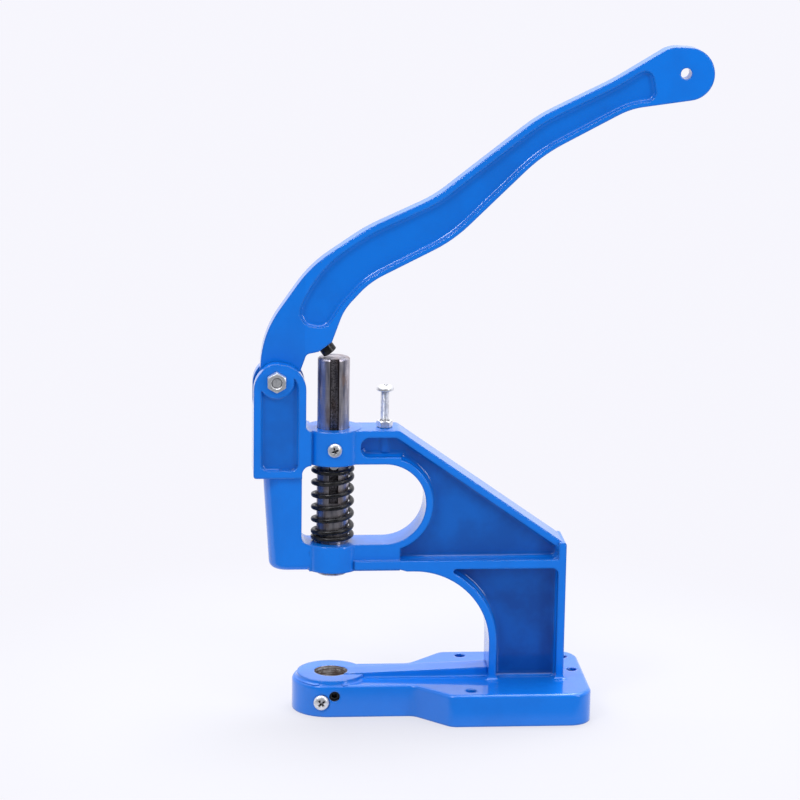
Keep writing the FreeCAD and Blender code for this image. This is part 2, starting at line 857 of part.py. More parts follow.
def biarc(start, start_tangent, end, end_tangent):
    """Two arcs that join two points with the tangents given."""
    span = end - start
    turn = 1 - start_tangent * end_tangent
    along = span * (start_tangent + end_tangent)
    reach = (math.sqrt(along ** 2 + 2 * turn * (span * span)) - along) / (2 * turn)
    middle = (start + end + (start_tangent - end_tangent) * reach) * 0.5
    first = arc_from(start, start_tangent, middle)
    second = arc_from(end, end_tangent * -1, middle)
    return [first, second]


def spring_points():
    """Points of the wire's centre line at each quarter turn, with tangents."""
    radius = (size("spring_outside") - size("wire_diameter")) / 2
    heights = spring_heights()
    points = []
    tangents = []
    step = 2 * math.pi * COIL_STEP
    for index, height in enumerate(heights):
        angle = math.radians(SPRING_START_ANGLE) + step * index
        points.append(Vector(radius * math.cos(angle), radius * math.sin(angle), height))
        before = heights[max(index - 1, 0)]
        after = heights[min(index + 1, len(heights) - 1)]
        count = min(index + 1, len(heights) - 1) - max(index - 1, 0)
        rise = (after - before) / (count * step)
        if index in (0, len(heights) - 1):
            rise = 0.0
        tangents.append(Vector(-radius * math.sin(angle), radius * math.cos(angle), rise).normalize())
    return points, tangents


def least_gap(points, wire):
    """Least distance between the surfaces of turns, half a turn or more apart."""
    apart = len(points) // (2 * int(FOOT_TURNS + OPEN_TURNS + TOP_TURNS))
    gaps = [
        first.distanceToPoint(second)
        for index, first in enumerate(points)
        for second in points[index + apart:]
    ]
    return min(gaps) - wire


def return_spring():
    points, tangents = spring_points()
    wire = size("wire_diameter")
    path = [Part.makeLine(points[0] - tangents[0] * wire, points[0])]
    for index in range(len(points) - 1):
        path += biarc(points[index], tangents[index], points[index + 1], tangents[index + 1])
    path.append(Part.makeLine(points[-1], points[-1] + tangents[-1] * wire))
    route = Part.Wire(Part.sortEdges(path)[0])
    section = Part.Wire(Part.makeCircle(wire / 2, points[0] - tangents[0] * wire, tangents[0]))
    tube = route.makePipeShell([section], True, False)
    samples = route.discretize(Number=600)
    print(f"spring gap to itself {least_gap(samples, wire):.2f} mm")
    share = tube.Volume / (math.pi * wire ** 2 / 4 * route.Length)
    print(f"spring volume over section times length {share:.3f}")
    spring = doc.addObject("Part::Feature", "return_spring")
    spring.Shape = tube
    spring.Label = "return_spring"
    spring.Placement = Placement()
    return spring


def striker_frame():
    """Seat centre on the lever and the rotation of the striker screw."""
    (first_x, first_z), (second_x, second_z) = STRIKER_SEAT
    centre = Vector((first_x + second_x) / 2, 0, (first_z + second_z) / 2)
    edge = Vector(first_x - second_x, 0, first_z - second_z).normalize()
    outward = Vector(edge.z, 0, -edge.x)
    return Placement(centre, Rotation(Vector(0, 0, 1), outward))


def striker_screw():
    body = screw("striker_screw", "striker_diameter", size("striker_length"),
                 "striker_head_diameter", "striker_head_height", 0.4)
    hex_recess(body, "striker_socket", size("striker_head_height"), size("striker_socket_width"),
               "sizes.striker_head_height / 2")
    body.Placement = striker_frame()
    return body


def pivot_parts():
    half = size("box_width") / 2
    grip = 2 * half + size("nut_height") - size("bolt_end_gap")
    bolt = hex_bolt("pivot_bolt", "pivot_bolt_diameter", grip, "nut_width", "bolt_head_height")
    bolt.Placement = Placement(
        Vector(size("pivot_x"), half, size("pivot_z")), Rotation(Vector(1, 0, 0), -90)
    )
    nut = hex_nut("pivot_nut", "nut_width", "nut_height", "pivot_bolt_diameter")
    nut.Placement = along_y(size("pivot_x"), size("pivot_z"), half)


def stop_parts():
    seat = size("stop_head_top") - size("stop_head_height")
    length = seat - size("head_top") + size("thread_depth") - 1
    bolt = screw("stop_bolt", "stop_bolt_diameter", length, "stop_head_diameter", "stop_head_height", 2.6)
    bolt.Placement = Placement(Vector(size("stop_bolt_x"), 0, seat), Rotation())
    nut = hex_nut("stop_lock_nut", "stop_nut_width", "stop_nut_height", "stop_bolt_diameter")
    nut.Placement = Placement(Vector(size("stop_bolt_x"), 0, size("head_top")), Rotation())


def side_screws():
    boss = size("boss_radius")
    nose = size("nose_half_width")
    tip = size("plunger_diameter") / 2 - size("keyway_depth") + 2 * size("face_clearance")
    guide = screw("plunger_guide_screw", "guide_screw_diameter", boss - tip,
                  "guide_head_diameter", "guide_head_height", 1.6)
    guide.Placement = along_y(0, size("guide_screw_z"), boss)
    seat = nose - size("clamp_seat_depth")
    clamp = screw("die_clamp_screw", "clamp_screw_diameter", seat - size("die_hole_diameter") / 2,
                  "clamp_head_diameter", "clamp_head_height", 1.8)
    clamp.Placement = along_y(size("clamp_screw_x"), size("clamp_screw_z"), seat)
    radius = size("set_screw_diameter") / 2 - size("thread_clearance")
    length = size("set_screw_length")
    grub = turned("die_set_screw", [(0, -length), (radius, -length, 0.8), (radius, 0, 0.4), (0, 0)])
    hex_recess(grub, "set_screw_socket", 0, size("set_socket_width"), "sizes.set_screw_length / 2")
    grub.Placement = along_y(
        size("set_screw_x"), size("set_screw_z"), nose - size("set_screw_recess")
    )


def check():
    for item in doc.Objects:
        if {"Invalid", "Error"} & set(item.State):
            raise ValueError(f"{item.Name} failed: {item.State}")
        if item.TypeId.startswith("PartDesign::") and not item.Shape.isValid():
            raise ValueError(f"{item.Name} has a shape that is not valid")


def main():
    base_casting()
    frame_casting()
    lever()
    plunger()
    spring_pin()
    return_spring()
    striker_screw()
    pivot_parts()
    stop_parts()
    side_screws()
    doc.recompute()
    check()
    os.makedirs("parts", exist_ok=True)
    for item in doc.Objects:
        if item.TypeId != "PartDesign::Body" and item.Name != "return_spring":
            continue
        shape = item.Shape
        if shape.isNull() or not shape.isValid():
            raise ValueError(f"{item.Label} has no valid shape")
        print(item.Label, len(shape.Solids), round(shape.Volume), shape.BoundBox)
        shape.exportStep(f"parts/{item.Label}.step")


main()
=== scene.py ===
"""Looks of a hand-lever eyelet press: enamel, plated screws, spring, ram and studio."""

import math

import bmesh
import bpy
from mathutils import Matrix, Vector


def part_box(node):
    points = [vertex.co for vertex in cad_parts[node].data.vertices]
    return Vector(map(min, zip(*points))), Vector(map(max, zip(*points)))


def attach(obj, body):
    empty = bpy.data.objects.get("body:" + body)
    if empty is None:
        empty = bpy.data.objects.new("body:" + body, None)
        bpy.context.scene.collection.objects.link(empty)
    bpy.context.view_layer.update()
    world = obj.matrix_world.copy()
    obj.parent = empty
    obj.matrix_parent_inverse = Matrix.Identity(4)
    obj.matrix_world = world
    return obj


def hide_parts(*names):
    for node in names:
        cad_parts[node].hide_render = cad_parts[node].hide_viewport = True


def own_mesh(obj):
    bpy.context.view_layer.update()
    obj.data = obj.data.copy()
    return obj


MM = 0.001
NUMBER, VECTOR = "NodeSocketFloat", "NodeSocketVector"

# Camera fitted to the photograph, in millimetres and degrees.
CAMERA_TARGET = (37.393, 0.0, 179.839)
CAMERA_AZIMUTH = -5.007
CAMERA_ELEVATION = 13.458
CAMERA_ROLL = 0.868
CAMERA_DISTANCE = 1739.26
CAMERA_LENS = 139.5

# Floor, in metres: half its side, the gap under the press, the shadow's middle and
# where the shadow fades, and where along Y gloss sees the floor darken and go black.
FLOOR_HALF = 14
FLOOR_GAP = 0.05 * MM
SHADOW_MIDDLE = (0.06, 0.0, 0.0)
SHADOW_FADE = (0.16, 0.34)
GLOSS_DARKENS = (-0.032, -0.068)
GLOSS_BLACKENS = (-0.85, -1.25)
# Softboxes: name, place, aim and size in metres, and power in watts.
SOFTBOXES = (
    ("key_softbox", (-0.9, -1.0, 1.5), (0.04, 0, 0.15), (0.42, 0.42), 8),
    ("fill_softbox", (1.3, -1.1, 0.7), (0.04, 0, 0.15), (0.25, 0.9), 6),
    ("top_softbox", (0.1, 0.5, 1.7), (0.05, 0, 0.15), (1.2, 0.8), 22),
)

# Colours of the studio, the enamel, the bare iron, the hardware and the ram.
BACKDROP = (0.930, 0.924, 0.985, 1.0)
SKYLIGHT = (0.95, 0.97, 1.0, 1.0)
FLOOR_GREY = (0.56, 0.56, 0.59, 1.0)
STUDIO_DARK = (0.15, 0.16, 0.18, 1.0)
STUDIO_BLACK = (0.02, 0.02, 0.025, 1.0)
ENAMEL_BLUE = (0.002, 0.172, 0.710, 1.0)
ENAMEL_DEEP = (0.002, 0.128, 0.560, 1.0)
# Painted shade for the enamel's sunk panels.
ENAMEL_PAINTED_SHADE = (0.002, 0.060, 0.300, 1.0)
ENAMEL_CHIP = (0.30, 0.42, 0.62, 1.0)
BARE_IRON = (0.72, 0.69, 0.67, 1.0)
RUSTY_IRON = (0.16, 0.12, 0.10, 1.0)
# Painted shade for the recesses of the plated hardware.
RECESS_PAINTED_SHADE = (0.012, 0.012, 0.014, 1.0)
ZINC = (0.82, 0.83, 0.85, 1.0)
ZINC_DULL = (0.62, 0.63, 0.66, 1.0)
ZINC_SPECK = (0.10, 0.09, 0.08, 1.0)
OXIDE_BLACK = (0.010, 0.010, 0.012, 1.0)
OXIDE_WORN = (0.085, 0.080, 0.075, 1.0)
RAM_STEEL = (0.56, 0.52, 0.55, 1.0)
RAM_BROWN = (0.30, 0.21, 0.18, 1.0)
RAM_BLUED = (0.17, 0.17, 0.22, 1.0)
KEYWAY_PITS = (0.045, 0.034, 0.036, 1.0)

# CAD nodes that keep their shape and take a finish.
CASTING_NODES = ("base_casting", "frame_casting")
ZINC_NODES = ("pivot_bolt", "spring_pin")
OXIDE_NODES = ("striker_screw", "die_set_screw")

# Sizes and places on the CAD's pieces, in millimetres.
BASE_TOP = 18.5
DIE_HOLE_RADIUS = 9.5
DIE_RING_TOP = 20.85
WEB_HALF = 4.0
LEVER_WEB_HALF = 2.2
BOX_PANEL_HALF = 10.2
BOX_PANEL_STEP = 6.3
BOX_EDGE_X = -16.5
BOX_FOOT_Z = 139.5
KEYWAY_HALF = 2.25
KEYWAY_BOTTOM = 122.0
KEYWAY_FRONT = -6.0
STOP_BOLT_X = 28.9
STOP_BOLT_SEAT = 185.7
STOP_THREAD_FOOT = 154.2

# Enamel: rounding that its highlights show, and strength of the shade painted on its sunk panels.
CORNER_RADIUS = 1.9
WEB_SHADE = 0.55
LEVER_SHADE = 0.12
# Point and radius of the enamel's chips, and of the splash of it in the die hole.
CHIPS = (((67.0, -26.5, 9.5), 0.7), ((-12.0, -24.6, 10.5), 0.4))
SPLASH = ((8.9, -2.0, 17.0), 4.2)

# Faces round the spring's wire and along a cove's quarter circle.
WIRE_SIDES = 24
COVE_STEPS = 7


# Node tree helpers


def fill(tree, node, inputs):
    """Fills a node's inputs from values or sockets."""
    for name, value in inputs.items():
        socket = node.inputs[name]
        if isinstance(value, bpy.types.NodeSocket):
            tree.links.new(value, socket)
        else:
            socket.default_value = value


def place(tree, kind, inputs=None, **settings):
    """Adds a node, sets it and fills its inputs."""
    made = tree.nodes.new(kind)
    for name, value in settings.items():
        setattr(made, name, value)
    fill(tree, made, inputs or {})
    return made


def arithmetic(tree, operation, *values):
    inputs = dict(enumerate(values))
    return place(tree, "ShaderNodeMath", inputs, operation=operation).outputs[0]


def product(tree, *factors):
    total = factors[0]
    for factor in factors[1:]:
        total = arithmetic(tree, "MULTIPLY", total, factor)
    return total


def vector_math(tree, operation, *vectors):
    """Outputs of a vector operation, with its number as Value and its vector as Vector."""
    inputs = dict(enumerate(vectors))
    return place(tree, "ShaderNodeVectorMath", inputs, operation=operation).outputs


def axes_of(tree, vector):
    return place(tree, "ShaderNodeSeparateXYZ", {"Vector": vector}).outputs


def span(tree, value, low, high, out_low=0.0, out_high=1.0):
    """Maps low..high smoothly to out_low..out_high, and low may be the larger."""
    inputs = {"Value": value, "From Min": low, "From Max": high}
    inputs.update({"To Min": out_low, "To Max": out_high})
    mapped = place(tree, "ShaderNodeMapRange", inputs, interpolation_type="SMOOTHSTEP")
    return mapped.outputs["Result"]


def tint(tree, factor, first, second):
    """Mixes two colours, the first one at a factor of 0."""
    inputs = {0: factor, 6: first, 7: second}
    return place(tree, "ShaderNodeMix", inputs, data_type="RGBA").outputs[2]


def noise(tree, vector, scale, detail=2.0, roughness=0.5):
    inputs = {"Vector": vector, "Scale": scale, "Detail": detail, "Roughness": roughness}
    return place(tree, "ShaderNodeTexNoise", inputs).outputs["Fac"]


def streaked_noise(tree, vector, scales, detail, roughness=0.5):
    """Noise with a scale of its own along each axis."""
    stretched = place(tree, "ShaderNodeMapping", {"Vector": vector, "Scale": scales})
    return noise(tree, stretched.outputs["Vector"], 1.0, detail, roughness)


def add_inputs(tree, inputs):
    """Gives a tree its named inputs and returns their identifiers."""
    identifiers = {}
    for socket, kind, value in inputs:
        made = tree.interface.new_socket(socket, in_out="INPUT", socket_type=kind)
        if value is not None:
            made.default_value = value
        identifiers[socket] = made.identifier
    return identifiers


def shader_group(name, inputs, outputs):
    """New shader group with its sockets, and its input and output nodes."""
    tree = bpy.data.node_groups.new(name, "ShaderNodeTree")
    add_inputs(tree, inputs)
    for socket, kind in outputs:
        tree.interface.new_socket(socket, in_out="OUTPUT", socket_type=kind)
    entry = tree.nodes.new("NodeGroupInput")
    leave = tree.nodes.new("NodeGroupOutput")
    return tree, entry.outputs, leave.inputs


def use_group(tree, group, inputs):
    return place(tree, "ShaderNodeGroup", inputs, node_tree=group).outputs


def emptied(owner):
    """Node tree of a material or world, with nothing in it."""
    owner.use_nodes = True
    owner.node_tree.nodes.clear()
    return owner.node_tree


# Shader groups shared by the finishes


def surface_waves():
    """Fine ripple over broad waves, as a height, with a patchy mask."""
    tree, given, out = shader_group(
        "surface_waves",
        [
            ("Vector", VECTOR, None),
            ("Ripple Scale", NUMBER, 420.0),
            ("Wave Scale", NUMBER, 60.0),
            ("Patch Scale", NUMBER, 28.0),
        ],
        [("Height", NUMBER), ("Patches", NUMBER)],
    )
    ripple = noise(tree, given["Vector"], given["Ripple Scale"], 1.5)
    wave = noise(tree, given["Vector"], given["Wave Scale"], 2.0)
    height = arithmetic(tree, "MULTIPLY_ADD", ripple, 0.3, wave)
    tree.links.new(height, out["Height"])
    patches = noise(tree, given["Vector"], given["Patch Scale"], 4.0, 0.62)
    tree.links.new(span(tree, patches, 0.38, 0.68), out["Patches"])
    return tree


def edge_wear():
    """Mask of the corners, broken up, and a normal that rounds them."""
    tree, given, out = shader_group(
        "edge_wear",
        [
            ("Vector", VECTOR, None),
            ("Radius", NUMBER, 0.0008),
            ("Break Scale", NUMBER, 260.0),
            ("Threshold", NUMBER, 0.62),
        ],
        [("Mask", NUMBER), ("Normal", VECTOR)],
    )
    bevel = place(tree, "ShaderNodeBevel", {"Radius": given["Radius"]}, samples=6)
    rounded = bevel.outputs["Normal"]
    plain = place(tree, "ShaderNodeNewGeometry").outputs["Normal"]
    cosine = vector_math(tree, "DOT_PRODUCT", rounded, plain)["Value"]
    corner = span(tree, cosine, 0.97, 0.86)
    breaks = noise(tree, given["Vector"], given["Break Scale"], 3.0, 0.6)
    limit = arithmetic(tree, "ADD", given["Threshold"], 0.06)
    inputs = {"Value": breaks, "From Min": given["Threshold"], "From Max": limit}
    spots = place(tree, "ShaderNodeMapRange", inputs).outputs["Result"]
    tree.links.new(product(tree, corner, spots), out["Mask"])
    tree.links.new(rounded, out["Normal"])
    return tree


def tool_marks():
    """Turning or grinding lines round an axis, as a height and a mask."""
    tree, given, out = shader_group(
        "tool_marks",
        [("Vector", VECTOR, None), ("Stretch", VECTOR, (60.0, 60.0, 5200.0))],
        [("Height", NUMBER), ("Lines", NUMBER)],
    )
    scaled = vector_math(tree, "MULTIPLY", given["Vector"], given["Stretch"])["Vector"]
    lines = noise(tree, scaled, 1.0, 2.0)
    tree.links.new(lines, out["Height"])
    tree.links.new(span(tree, lines, 0.35, 0.65), out["Lines"])
    return tree


WAVES = surface_waves()
WEAR = edge_wear()
MARKS = tool_marks()


# Finishes


def new_finish(name):
    """Empty material with its tree, Principled BSDF and object coordinates."""
    material = bpy.data.materials.new(name)
    tree = emptied(material)
    shader = tree.nodes.new("ShaderNodeBsdfPrincipled")
    place(tree, "ShaderNodeOutputMaterial", {"Surface": shader.outputs["BSDF"]})
    vector = tree.nodes.new("ShaderNodeTexCoord").outputs["Object"]
    return material, tree, shader, vector


def bumped(tree, height, normal, distance, strength=1.0):
    inputs = {"Height": height, "Normal": normal, "Distance": distance, "Strength": strength}
    return place(tree, "ShaderNodeBump", inputs).outputs["Normal"]


def near_point(tree, vector, point, radius):
    """Round patch of the given radius about a point, in millimetres."""
    centre = tuple(value * MM for value in point)
    away = vector_math(tree, "DISTANCE", vector, centre)["Value"]
    return span(tree, away, radius * MM, 0.75 * radius * MM)


def bore_mask(tree, vector):
    """Inside of the die hole, where the casting is bare."""
    flat = vector_math(tree, "MULTIPLY", vector, (1.0, 1.0, 0.0))["Vector"]
    radius = vector_math(tree, "LENGTH", flat)["Value"]
    enamel_ends, iron_begins = DIE_HOLE_RADIUS + 0.35, DIE_HOLE_RADIUS + 0.1
    inside = span(tree, radius, enamel_ends * MM, iron_begins * MM)
    below = arithmetic(tree, "LESS_THAN", axes_of(tree, vector)["Z"], DIE_RING_TOP * MM)
    return product(tree, inside, below)


def painted_panel_shade(tree, vector, patches, depth, shade):
    """Painted shade, with smudges in patches, on the side faces that lie within the depth, in
    millimetres, of the middle.
    """
    axes = axes_of(tree, vector)
    behind = arithmetic(tree, "LESS_THAN", axes["X"], BOX_EDGE_X * MM)
    above = arithmetic(tree, "GREATER_THAN", axes["Z"], BOX_FOOT_Z * MM)
    in_box = product(tree, behind, above)
    limit = arithmetic(tree, "MULTIPLY_ADD", in_box, BOX_PANEL_STEP * MM, 1.1 * depth * MM)
    aside = arithmetic(tree, "ABSOLUTE", axes["Y"])
    soft_edge = 2.0 * MM
    inside = span(tree, arithmetic(tree, "SUBTRACT", aside, limit), soft_edge, 0.0)
    normal = tree.nodes.new("ShaderNodeTexCoord").outputs["Normal"]
    sideways = arithmetic(tree, "ABSOLUTE", axes_of(tree, normal)["Y"])
    flat = span(tree, sideways, 0.3, 0.85)
    # Painted shade, patchy like smudges, grows lower down and is weaker in the box.
    smudges_and_shade = arithmetic(tree, "MULTIPLY_ADD", patches, 0.45 * shade, shade)
    darker_below = span(tree, axes["Z"], 110 * MM, 50 * MM, 1.0, 1.35)
    paler_box = arithmetic(tree, "MULTIPLY_ADD", in_box, -0.3, 1.0)
    return product(tree, inside, flat, smudges_and_shade, darker_below, paler_box)


def blue_enamel(name, corner_radius, panel_depth, panel_shade):
    """Enamel with painted shade and smudges on its sunk panels, small chips, and turned iron in the
    die hole.
    """
    material, tree, shader, vector = new_finish(name)
    waves = use_group(tree, WAVES, {"Vector": vector})
    inputs = {"Vector": vector, "Radius": corner_radius * MM, "Threshold": 0.78}
    wear = use_group(tree, WEAR, inputs)
    deep = product(tree, waves["Patches"], 0.35)
    colour = tint(tree, deep, ENAMEL_BLUE, ENAMEL_DEEP)
    # Painted shade darkens the colour of the sunk panels.
    painted_shade = painted_panel_shade(tree, vector, waves["Patches"], panel_depth, panel_shade)
    colour = tint(tree, painted_shade, colour, ENAMEL_PAINTED_SHADE)
    chips = product(tree, wear["Mask"], 0.12)
    for point, radius in CHIPS:
        chips = arithmetic(tree, "MAXIMUM", chips, near_point(tree, vector, point, radius))
    colour = tint(tree, chips, colour, ENAMEL_CHIP)
    turned = use_group(tree, MARKS, {"Vector": vector, "Stretch": (90.0, 90.0, 1500.0)})
    clean = span(tree, noise(tree, vector, 190.0, 4.0, 0.65), 0.35, 0.6)
    iron = tint(tree, product(tree, turned["Lines"], clean), RUSTY_IRON, BARE_IRON)
    unsplashed = arithmetic(tree, "SUBTRACT", 1.0, near_point(tree, vector, *SPLASH))
    bare = product(tree, bore_mask(tree, vector), unsplashed)
    gloss = span(tree, waves["Patches"], 0.0, 1.0, 0.34, 0.46)
    normal = bumped(tree, waves["Height"], wear["Normal"], 0.09 * MM, 0.7)
    fill(tree, shader, {
        "Base Color": tint(tree, bare, colour, iron),
        "Roughness": arithmetic(tree, "MULTIPLY_ADD", bare, 0.2, gloss),
        "Metallic": product(tree, bare, 0.45),
        "Coat Weight": arithmetic(tree, "SUBTRACT", 1.0, bare),
        "Coat Roughness": 0.07,
        "Specular IOR Level": 0.1,
        "IOR": 1.5,
        "Normal": normal,
        "Coat Normal": normal,
    })
    return material


def zinc_plate():
    """Bright zinc with dull patches and specks, and painted shade down in its recesses."""
    material, tree, shader, vector = new_finish("bright_zinc_plate")
    scales = {"Ripple Scale": 2400.0, "Wave Scale": 700.0, "Patch Scale": 420.0}
    waves = use_group(tree, WAVES, {"Vector": vector, **scales})
    wear = use_group(tree, WEAR, {"Vector": vector, "Radius": 0.25 * MM})
    colour = tint(tree, waves["Patches"], ZINC, ZINC_DULL)
    specks = span(tree, noise(tree, vector, 1500.0, 2.0), 0.66, 0.72)
    colour = tint(tree, product(tree, specks, 0.7), colour, ZINC_SPECK)
    # Painted shade: where ambient occlusion finds a recess, the colour is darkened.
    opening = place(tree, "ShaderNodeAmbientOcclusion", {"Distance": 1.6 * MM}, samples=8)
    painted_recess_shade = span(tree, opening.outputs["AO"], 0.72, 0.38)
    fill(tree, shader, {
        "Base Color": tint(tree, painted_recess_shade, colour, RECESS_PAINTED_SHADE),
        "Metallic": 0.7,
        "Roughness": span(tree, waves["Patches"], 0.0, 1.0, 0.30, 0.46),
        "Normal": bumped(tree, waves["Height"], wear["Normal"], 0.015 * MM),
    })
    return material


def black_oxide():
    """Oiled black steel, worn grey along its corners."""
    material, tree, shader, vector = new_finish("oiled_black_oxide")
    scales = {"Ripple Scale": 1500.0, "Wave Scale": 380.0, "Patch Scale": 230.0}
    waves = use_group(tree, WAVES, {"Vector": vector, **scales})
    worn = {"Radius": 0.3 * MM, "Break Scale": 800.0, "Threshold": 0.5}
    wear = use_group(tree, WEAR, {"Vector": vector, **worn})
    colour = tint(tree, product(tree, waves["Patches"], 0.3), OXIDE_BLACK, OXIDE_WORN)
    fill(tree, shader, {
        "Base Color": tint(tree, wear["Mask"], colour, OXIDE_WORN),
        "Metallic": 0.35,
        "Roughness": span(tree, waves["Patches"], 0.0, 1.0, 0.24, 0.42),
        "Normal": bumped(tree, waves["Height"], wear["Normal"], 0.02 * MM),
    })
    return material


def keyway_mask(tree, vector):
    """Pitted scale in the keyway and dark lines down its two edges."""
    axes = axes_of(tree, vector)
    front = arithmetic(tree, "LESS_THAN", axes["Y"], KEYWAY_FRONT * MM)
    above = arithmetic(tree, "GREATER_THAN", axes["Z"], KEYWAY_BOTTOM * MM)
    aside = arithmetic(tree, "ABSOLUTE", axes["X"])
    inside = span(tree, aside, KEYWAY_HALF * MM, (KEYWAY_HALF - 0.2) * MM)
    scale = streaked_noise(tree, vector, (1500.0, 1500.0, 2600.0), 2.0)
    pits = product(tree, inside, span(tree, scale, 0.40, 0.60, 0.2, 0.85))
    off_edge = arithmetic(tree, "SUBTRACT", aside, KEYWAY_HALF * MM)
    rim = span(tree, arithmetic(tree, "ABSOLUTE", off_edge), 0.5 * MM, 0.2 * MM)
    return product(tree, front, above, arithmetic(tree, "MAXIMUM", pits, rim))


def ram_steel():
    """Ground steel, blued and browned in streaks along the ram."""
    material, tree, shader, vector = new_finish("dark_polished_ram_steel")
    scales = {"Ripple Scale": 900.0, "Wave Scale": 160.0, "Patch Scale": 90.0}
    waves = use_group(tree, WAVES, {"Vector": vector, **scales})
    marks = use_group(tree, MARKS, {"Vector": vector})
    wear = use_group(tree, WEAR, {"Vector": vector, "Radius": 0.4 * MM})
    blued = span(tree, streaked_noise(tree, vector, (240.0, 240.0, 26.0), 3.0, 0.6), 0.42, 0.66)
    colour = tint(tree, blued, RAM_STEEL, RAM_BLUED)
    brown = span(tree, streaked_noise(tree, vector, (150.0, 150.0, 60.0), 3.0), 0.52, 0.68)
    colour = tint(tree, product(tree, brown, 0.75), colour, RAM_BROWN)
    colour = tint(tree, product(tree, marks["Lines"], 0.18), colour, RAM_BLUED)
    height = arithmetic(tree, "MULTIPLY_ADD", marks["Height"], 0.4, waves["Height"])
    fill(tree, shader, {
        "Base Color": tint(tree, keyway_mask(tree, vector), colour, KEYWAY_PITS),
        "Metallic": 0.85,
        "Roughness": span(tree, waves["Patches"], 0.0, 1.0, 0.30, 0.44),
        "Normal": bumped(tree, height, wear["Normal"], 0.012 * MM),
    })
    return material


# Meshes


def add_object(name, data):
    obj = bpy.data.objects.new(name, data)
    bpy.context.scene.collection.objects.link(obj)
    return obj


def mesh_of(form, name):
    mesh = bpy.data.meshes.new(name)
    form.to_mesh(mesh)
    form.free()
    return mesh


def finished(obj, material):
    """Replaces a piece's modifiers by the plain mesh they make."""
    graph = bpy.context.evaluated_depsgraph_get()
    mesh = bpy.data.meshes.new_from_object(obj.evaluated_get(graph))
    obj.modifiers.clear()
    obj.data = mesh
    mesh.materials.clear()
    mesh.materials.append(material)
    return obj


def carved(piece, cutter, operation, material, use_self=False):
    """Carves a piece with another solid, which is then removed."""
    carve = piece.modifiers.new(cutter.name, "BOOLEAN")
    carve.object, carve.operation, carve.solver = cutter, operation, "EXACT"
    carve.use_self = use_self
    finished(piece, material)
    bpy.data.objects.remove(cutter)


def smooth_by_angle(mesh, degrees=32):
    """Smooth faces, with the edges past the angle left sharp."""
    form = bmesh.new()
    form.from_mesh(mesh)
    bmesh.ops.remove_doubles(form, verts=form.verts, dist=0.0005 * MM)
    for face in form.faces:
        face.smooth = True
    for edge in form.edges:
        if len(edge.link_faces) == 2 and edge.calc_face_angle() > math.radians(degrees):
            edge.smooth = False
    form.to_mesh(mesh)
    form.free()


def lathe(outline, segments=48):
    """Closed solid turned about Z from radius and height pairs, in millimetres."""
    form = bmesh.new()
    rings = []
    for radius, height in outline:
        if radius == 0:
            rings.append([form.verts.new((0, 0, height * MM))])
            continue
        ring = []
        for step in range(segments):
            turn = 2 * math.pi * step / segments
            across, along = radius * MM * math.cos(turn), radius * MM * math.sin(turn)
            ring.append(form.verts.new((across, along, height * MM)))
        rings.append(ring)
    for lower, upper in zip(rings, rings[1:]):
        for step in range(segments):
            after = (step + 1) % segments
            corners = [lower[step % len(lower)], lower[after % len(lower)]]
            corners += [upper[after % len(upper)], upper[step % len(upper)]]
            form.faces.new(list(dict.fromkeys(corners)))
    bmesh.ops.recalc_face_normals(form, faces=form.faces)
    return form


def mirrored(half, height):
    """Outline of a turned piece from the half at its foot."""
    return half + [(radius, height - up) for radius, up in reversed(half)]


def upright(x, y, z):
    """Moves a piece made at the origin to a point, in millimetres."""
    return Matrix.Translation(Vector((x, y, z)) * MM)


def facing_front(x, y, z):
    """Turns +Z towards -Y and moves it to a point, in millimetres."""
    return upright(x, y, z) @ Matrix.Rotation(math.pi / 2, 4, "X")


# Screws and nuts


def pan_outline(shank, length, head, height):
    """Radius and height pairs of a screw with a domed head seated at z = 0."""
    tip, rim_in, rim_up = 0.45, 0.15, 0.2
    side = height * 0.3
    dome_steps, fullness = 9, 0.75
    dome = []
    for step in range(1, dome_steps + 1):
        turn = math.pi / 2 * step / dome_steps
        dome.append((head * math.cos(turn) ** fullness, side + (height - side) * math.sin(turn)))
    dome[-1] = (0, height)
    return [
        (0, -length),
        (shank - tip, -length),
        (shank, -length + tip),
        (shank, 0),
        (head - rim_in, 0),
        (head, rim_up),
        (head, side),
        *dome,
    ]


def cross_cutter(reach, width, depth):
    """Tapered cross that cuts a screwdriver recess below z = 0, in millimetres."""
    mouth = (0.6, reach * 1.1, width / 2)
    foot = (-depth, reach * 0.35, width * 0.32)
    form = bmesh.new()
    for turned_by in (0, math.pi / 2):
        corners = []
        for z, along, across in (mouth, foot):
            for x, y in ((-along, -across), (along, -across), (along, across), (-along, across)):
                corners.append(form.verts.new(Vector((x, y, z)) * MM))
        top, low = corners[:4], corners[4:]
        form.faces.new(top)
        form.faces.new(low[::-1])
        for step in range(4):
            after = (step + 1) % 4
            form.faces.new((top[after], top[step], low[step], low[after]))
        turned = Matrix.Rotation(turned_by, 3, "Z")
        bmesh.ops.rotate(form, verts=corners, cent=(0, 0, 0), matrix=turned)
    bmesh.ops.recalc_face_normals(form, faces=form.faces)
    return form


def cross_head_screw(name, node, body, place_at, sizes, cross, turn, material):
    """Screw with a cross recess that stands for a CAD screw."""
    piece = add_object(name, mesh_of(lathe(pan_outline(**sizes)), name))
    cutter = add_object("cross_cutter", mesh_of(cross_cutter(**cross), "cross_cutter"))
    top = Matrix.Translation((0, 0, sizes["height"] * MM))
    cutter.data.transform(top @ Matrix.Rotation(math.radians(turn), 4, "Z"))
    carved(piece, cutter, "DIFFERENCE", material, use_self=True)
    piece.data.transform(place_at)
    smooth_by_angle(piece.data)
    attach(piece, body)
    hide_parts(node)


